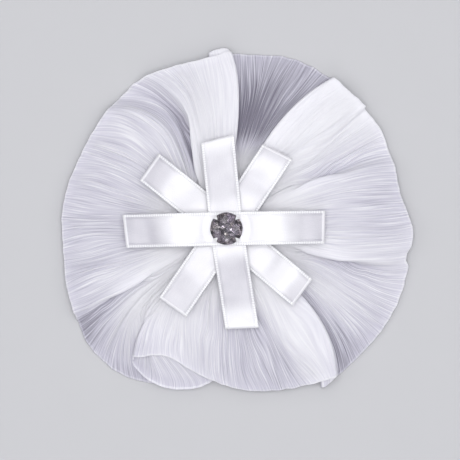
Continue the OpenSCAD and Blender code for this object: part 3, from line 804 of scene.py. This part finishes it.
def makeStone():
    s = stoneSizes
    shape = bmesh.new()
    bmesh.ops.create_cone(shape, cap_ends=True, segments=s["sides"], radius1=s["radius"], radius2=s["radius"],
                          depth=s["crown"] + s["pavilion"] + s["girdle"])
    bmesh.ops.translate(shape, verts=shape.verts, vec=(0, 0, (s["crown"] - s["pavilion"]) / 2))
    for count, tilt, first, distance in s["cuts"]:
        for k in range(count):
            normal = leaning(radians(first + k * 360 / count + s["turn"]), radians(tilt))
            parts = shape.verts[:] + shape.edges[:] + shape.faces[:]
            cut = bmesh.ops.bisect_plane(shape, geom=parts, dist=1e-5, plane_co=normal * distance,
                                         plane_no=normal, clear_outer=True)
            rim = [e for e in cut["geom_cut"] if isinstance(e, bmesh.types.BMEdge)]
            if rim:
                bmesh.ops.contextual_create(shape, geom=rim)
    bmesh.ops.remove_doubles(shape, verts=shape.verts, dist=1e-4)
    bmesh.ops.recalc_face_normals(shape, faces=shape.faces)
    place = Matrix.Translation((middleX * mm, middleY * mm, s["centreZ"] * mm))
    size = Matrix.Diagonal((s["widen"] * mm, s["widen"] * mm, mm, 1))
    bmesh.ops.transform(shape, matrix=place @ size, verts=shape.verts)
    piece = pieceFrom("rhinestoneCut", shape)
    for face in piece.data.polygons:
        face.material_index = 1 if face.normal.z < s["foilSlope"] else 0
    return piece


def glassMaterial():
    made, tree, shader = newMaterial("cutGlass")
    cloud = noise(objectPlace(tree), stoneFinish["glassClouds"], 2.0)
    setShader(shader, Base_Color=mixColours(cloud, *stoneFinish["glass"]), Roughness=0.015,
              IOR=1.56, Transmission_Weight=1.0, Specular_IOR_Level=0.3)
    return made


def foilMaterial():
    f = stoneFinish
    made, tree, shader = newMaterial("mirrorFoil")
    place = objectPlace(tree)
    # the foil lies unevenly behind the facets, in small angular patches that each tilt their own way
    fine = vectorNode("MULTIPLY", place, [f["patches"]] * 3)[0]
    patches = addNode(tree, "TexVoronoi", {"Vector": fine, "Scale": 1.0, "Randomness": 1.0})
    offset = vectorNode("SUBTRACT", fine, patches.outputs["Position"])[0]
    lean = vectorNode("SUBTRACT", patches.outputs["Color"], (0.5, 0.5, 0.5))[0]
    slope = vectorNode("DOT_PRODUCT", offset, lean)["Value"]
    patch = addNode(tree, "SeparateColor", {"Color": patches.outputs["Color"]}).outputs[0]
    cloud = noise(place, f["foilClouds"], 3.0)
    tint = mixColours(spread(cloud, 0.35, 0.65), *f["foilTints"])
    setShader(shader, Base_Color=mixColours(patch, f["foil"], tint), Metallic=1.0,
              Roughness=f["foilRoughness"], Normal=bumpFrom(slope, 1.0, f["patchTilt"]))
    return made


stone = finishPiece(makeStone(), "stone", [glassMaterial(), foilMaterial()], "rhinestone")
print("stone made:", len(stone.data.polygons), "facets")


# Cup: it holds the stone with four claws
cupSizes = {
    "radius": 4.74, "wall": 0.40, "height": 2.38, "bevel": 1.1, "round": 0.18, "floor": 0.6, "sides": 96,
    "clawTurn": 45.0, "clawSides": 16,
    # a claw rises from the cup's wall, bends over the girdle and narrows to its tip: out from the cup's side,
    # up from the cup's foot or from the girdle's top, width and thickness
    "clawFoot": [(-0.05, 0.7, 1.4, 0.28), (0.16, 1.5, 1.4, 0.36)],
    "clawBow": [(0.33, -0.1, 1.4, 0.40), (0.27, 0.30, 1.372, 0.40), (0.02, 0.62, 1.176, 0.40),
                (-0.30, 0.88, 0.812, 0.36), (-0.62, 1.12, 0.462, 0.30), (-0.86, 1.28, 0.24, 0.20)],
}
# two colours, lowest and highest roughness, grains in each metre; the plating is frosted, nearly white
plateFinish = {"dark": (0.92, 0.92, 0.93, 1), "pale": (0.98, 0.98, 0.985, 1), "rough": (0.42, 0.52),
               "grain": 600.0, "metallic": 0.55}


def makeCup():
    s = cupSizes
    outer, inner, bevel, r = s["radius"], s["radius"] - s["wall"], s["bevel"], s["round"]
    foot, top = cupLow.z / mm, cupLow.z / mm + s["height"]
    profile = [(0.02, foot), (outer - bevel, foot), (outer - 0.45 * bevel, foot + 0.22 * bevel),
               (outer - 0.1, foot + 0.75 * bevel), (outer, foot + bevel), (outer, top - r),
               (outer - 0.3 * r, top - 0.3 * r), (outer - r, top), (inner + 0.5 * r, top), (inner, top - r),
               (inner, foot + 1.5), (outer - 1.5, foot + s["floor"]), (0.02, foot + s["floor"])]
    p, z = np.array(profile).T
    east, north = headings(onceRound(s["sides"]))[0].T[..., None]
    grids = [(pointsAt(middleX + p * east, middleY + p * north, z), True, False)]
    girdleTop = stoneSizes["centreZ"] + stoneSizes["girdle"] / 2
    claw = np.array([(outer + p, foot + z, w, t) for p, z, w, t in s["clawFoot"]]
                    + [(outer + p, girdleTop + z, w, t) for p, z, w, t in s["clawBow"]])
    ahead = unitRows(np.gradient(claw[:, :2], axis=0))
    (p, z, wide, thick), (dx, dz) = claw.T[:, :, None], ahead.T[:, :, None]
    x, y = headings(onceRound(s["clawSides"]))[0].T
    x, y = np.abs(x) ** 0.6 * np.sign(x), np.abs(y) ** 0.7 * np.sign(y)
    for k in range(4):
        east, north = headings(radians(s["clawTurn"] + 90 * k))
        out, sideways = p + dz * y * thick / 2, x * wide / 2
        flat = np.array([middleX, middleY]) + east * out[..., None] + north * sideways[..., None]
        grids.append((pointsAt(flat[..., 0], flat[..., 1], z - dx * y * thick / 2), False, True))
    return joinedPiece("stoneCup", grids)


def metalMaterial(name, finish):
    made, tree, shader = newMaterial(name)
    place = objectPlace(tree)
    cloud = noise(place, finish["grain"], 4.0)
    # fine scratches that run along x
    drawn = addNode(tree, "Mapping", {"Vector": place, "Scale": (1, 14, 14)}).outputs[0]
    scratches = noise(drawn, finish["grain"] * 3, 3.0)
    setShader(shader, Base_Color=mixColours(cloud, finish["dark"], finish["pale"]),
              Metallic=finish["metallic"], Roughness=spread(scratches, 0.3, 0.7, *finish["rough"]),
              Normal=bumpFrom(scratches, 0.12, 0.00003))
    return made


finishPiece(makeCup(), "setting_metal", [metalMaterial("silverPlate", plateFinish)], "stone_setting")
print("cup and claws made")


# Pin back: a pressed bar with its hinge, catch and pointed wire, as the source places them
pinLow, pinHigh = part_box("pin_back")
pinSizes = {
    "barLong": 32.0, "barWide": 5.0, "barThick": 0.8, "barBevel": 0.14, "barCorner": 1.3, "inBar": 0.1,
    "wireZ": 1.6, "wireR": 0.4, "taper": 5.0, "tipR": 0.05, "coilR": 0.85, "coilTurns": 2, "coilWide": 0.9,
    "hingeX": 12.4, "knuckle": 1.3, "cheekThick": 0.7, "cheekY": 2.05, "rivetR": 0.42, "rivetHead": 0.75,
    "catchX": -14.8, "catchZ": 2.37, "catchWide": 2.2, "catchThick": 0.45, "catchReach": 2.1,
    "catchDrop": 1.4,
}
barTop = pinHigh.z / mm
barLow = barTop - pinSizes["barThick"]
threadSizes = {"radius": 0.11, "places": (-2.5, -2.1, -1.7, 1.7, 2.1, 2.5), "over": 0.85, "beside": 0.16,
               "below": 0.13, "corner": 0.35, "slant": 0.12}
steelFinish = {"dark": (0.50, 0.49, 0.48, 1), "pale": (0.66, 0.65, 0.64, 1), "rough": (0.20, 0.36),
               "grain": 300.0, "metallic": 1.0}
threadFinish = {"dark": (0.70, 0.69, 0.73, 1), "pale": (0.88, 0.87, 0.90, 1),
                "twist": 1600.0, "fluff": 4000.0}


# these four give grids of points, measured from the pin's middle, and whether their rows and columns close
def makeBar():
    s = pinSizes
    bevel, thick = s["barBevel"], s["barThick"]
    rows = []
    for inset, z in ((1.0, 0), (bevel, 0), (0, bevel), (0, thick - bevel), (bevel, thick), (1.0, thick)):
        outline = rounded(s["barLong"] / 2 - inset, s["barWide"] / 2 - inset, s["barCorner"] - inset)
        rows.append(pointsAt(*outline.T, barLow + z))
    return [(np.stack(rows, 1), True, False)]


# two cheeks under the bar, and the rivet through them
def makeHinge():
    s = pinSizes
    x, top = s["hingeX"], barLow + s["inBar"]
    knuckle = [x, s["wireZ"]] + s["knuckle"] * headings(np.radians(np.linspace(165, 350, 16)))[0]
    cheek = np.concatenate([knuckle, [(x + 3.0, 3.4), (x + 3.3, top), (x - 0.3, top), (x - 1.2, 3.3)]])
    heart = cheek.mean(0)
    grids = []
    for y in (-s["cheekY"], s["cheekY"]):
        rows = []
        for size, shift in ((0.6, -0.5), (0.95, -0.5), (1, -0.38), (1, 0.38), (0.95, 0.5), (0.6, 0.5)):
            flat = heart + (cheek - heart) * size
            rows.append(pointsAt(flat[:, 0], y + shift * s["cheekThick"], flat[:, 1]))
        grids.append((np.stack(rows, 1), True, False))
    ends = s["cheekY"] + s["cheekThick"] / 2 + np.array([0.08, 0.06, 0, -0.02])
    rivet = pointsAt(x, np.concatenate([-ends, ends[::-1]]), s["wireZ"])
    thick = [s["rivetHead"] * 0.4, s["rivetHead"] * 0.8, s["rivetHead"], s["rivetR"]]
    return grids + [(sweep(rivet, circle(thick + thick[::-1], 20), (1, 0, 0)), False, True)]


# coiled on the rivet, then straight to its point past the catch
def makeWire():
    s = pinSizes
    a = np.radians(np.linspace(90 - 360 * s["coilTurns"], 90, 28 * s["coilTurns"] + 1))
    coil = pointsAt(s["hingeX"] + s["coilR"] * np.cos(a), np.linspace(s["coilWide"], 0, len(a)),
                    s["wireZ"] + s["coilR"] * np.sin(a))
    x = np.linspace(s["hingeX"] - 0.4, pinLow.x / mm - middleX + 0.05, 60)
    height = s["wireZ"] + s["coilR"] * (1 - stepUp(0, 7, s["hingeX"] - x))
    line = np.concatenate([coil, pointsAt(x, 0, height)])
    point = mix(s["tipR"], s["wireR"], ((x - x[-1]) / s["taper"]).clip(0, 1) ** 0.8)
    radii = np.concatenate([np.full(len(a), s["wireR"]), point])
    return [(sweep(line, circle(radii, 16), (0, 1, 0)), False, True)]


# a strip bent into a hook under the wire
def makeCatch():
    s = pinSizes
    a = np.radians(np.linspace(0, -200, 30))
    drop = np.linspace(barLow + s["inBar"], s["catchZ"] + 0.3, 8)
    across = np.concatenate([np.full(len(drop), s["catchReach"]), s["catchReach"] * np.cos(a)])
    height = np.concatenate([drop, s["catchZ"] + s["catchDrop"] * np.sin(a)])
    strip = rounded(s["catchThick"] / 2, s["catchWide"] / 2, 0.12, 3)[None]
    return [(sweep(pointsAt(s["catchX"], across, height), strip, (1, 0, 0)), False, True)]


def makePin():
    middle = np.array([middleX, middleY, 0])
    grids = makeBar() + makeHinge() + makeWire() + makeCatch()
    return joinedPiece("pinFinding", [(points + middle, *closing) for points, *closing in grids])


# loops of thread round the bar that go up through the gathers
def makeThreads():
    s = threadSizes
    top, low = barTop + s["over"], barLow - s["below"]
    grids = []
    for k, x in enumerate(s["places"]):
        loop = rounded(pinSizes["barWide"] / 2 + s["beside"], (top - low) / 2, s["corner"])
        slant = s["slant"] * sin(2.4 * k) * loop[:, 1]
        line = pointsAt(middleX + x + slant, middleY + loop[:, 0], loop[:, 1] + (top + low) / 2)
        grids.append((sweep(line, circle([s["radius"]], 8), (1, 0, 0), closed=True), True, True))
    return joinedPiece("sewingThreads", grids)


def threadMaterial():
    f = threadFinish
    made, tree, shader = newMaterial("whiteThread")
    place = objectPlace(tree)
    twist = wave(place, f["twist"], 1.0, 1.0, "DIAGONAL")
    fluff = noise(place, f["fluff"], 2.0)
    bump = bumpFrom(plus(twist, times(fluff, 0.4)), 0.6, 0.00005)
    # the thread is painted darker in the twist's grooves, a painted shade that follows its bump
    colour = mixColours(twist, f["dark"], f["pale"])
    setShader(shader, Base_Color=colour, Roughness=0.6, Normal=bump)
    return made


finishPiece(makePin(), "pin_metal", [metalMaterial("nickelSteel", steelFinish)], "pin_back")
threads = finishPiece(makeThreads(), "chiffon", [threadMaterial()])
print("pin and threads made")


# Floor, lights and camera
studio = {
    "floorHalf": 900.0, "floorTone": (0.47, 0.47, 0.485), "floorGrain": 0.985,
    "worldTone": (0.85, 0.87, 0.95, 1), "worldPower": 0.30,
    # bearing, height as an angle, distance, side and power: four round about, and four high up between them
    "boxes": [(turn, 46, away, 0.55, 1.62) for turn, away in ((0, 1.05), (180, 1.05), (90, 1.1), (270, 1.1))]
             + [(turn, 78, 1.1, 0.36, 2.25) for turn in (45, 135, 225, 315)],
}
camera = {"frameWidth": 139.4, "frameZ": 5.0, "distance": 900.0, "aimX": -1.97, "aimY": -2.88,
          "sensor": 36.0}


def makeFloor():
    reach = np.linspace(-studio["floorHalf"], studio["floorHalf"], 9)
    floor = gridPiece("floor", pointsAt(reach[::-1, None], reach, 0.0), closeRows=False)
    made, tree, shader = newMaterial("paleBoard")
    grain = noise(objectPlace(tree), 90.0, 4.0)
    tone = np.array(studio["floorTone"])
    colour = mixColours(grain, (*(tone * studio["floorGrain"]), 1), (*tone, 1))
    setShader(shader, Base_Color=colour, Roughness=0.85, Specular_IOR_Level=0.2)
    floor.data.materials.append(made)


def makeLights():
    world = bpy.data.worlds.new("studioAir")
    world.use_nodes = True
    back = world.node_tree.nodes["Background"]
    back.inputs["Color"].default_value = studio["worldTone"]
    back.inputs["Strength"].default_value = studio["worldPower"]
    bpy.context.scene.world = world
    bpy.context.scene.view_settings.view_transform = "Standard"
    for k, (turn, rise, away, size, power) in enumerate(studio["boxes"]):
        light = bpy.data.lights.new("softBox" + str(k), "AREA")
        light.shape, light.size, light.energy = "SQUARE", size, power
        lamp = addObject(light.name, light)
        lamp.location = leaning(radians(turn), radians(90 - rise)) * away
        lamp.rotation_euler = lamp.location.to_track_quat("Z", "Y").to_euler()


def makeCamera():
    c = camera
    made = bpy.data.cameras.new("overhead")
    made.sensor_width = c["sensor"]
    made.lens = c["sensor"] * (c["distance"] - c["frameZ"]) / c["frameWidth"]
    made.clip_start, made.clip_end = 0.01, 20
    eye = addObject("overhead", made)
    eye.location = (c["aimX"] * mm, c["aimY"] * mm, c["distance"] * mm)
    bpy.context.scene.camera = eye


makeFloor()
makeLights()
makeCamera()
print("floor, lights and camera made")
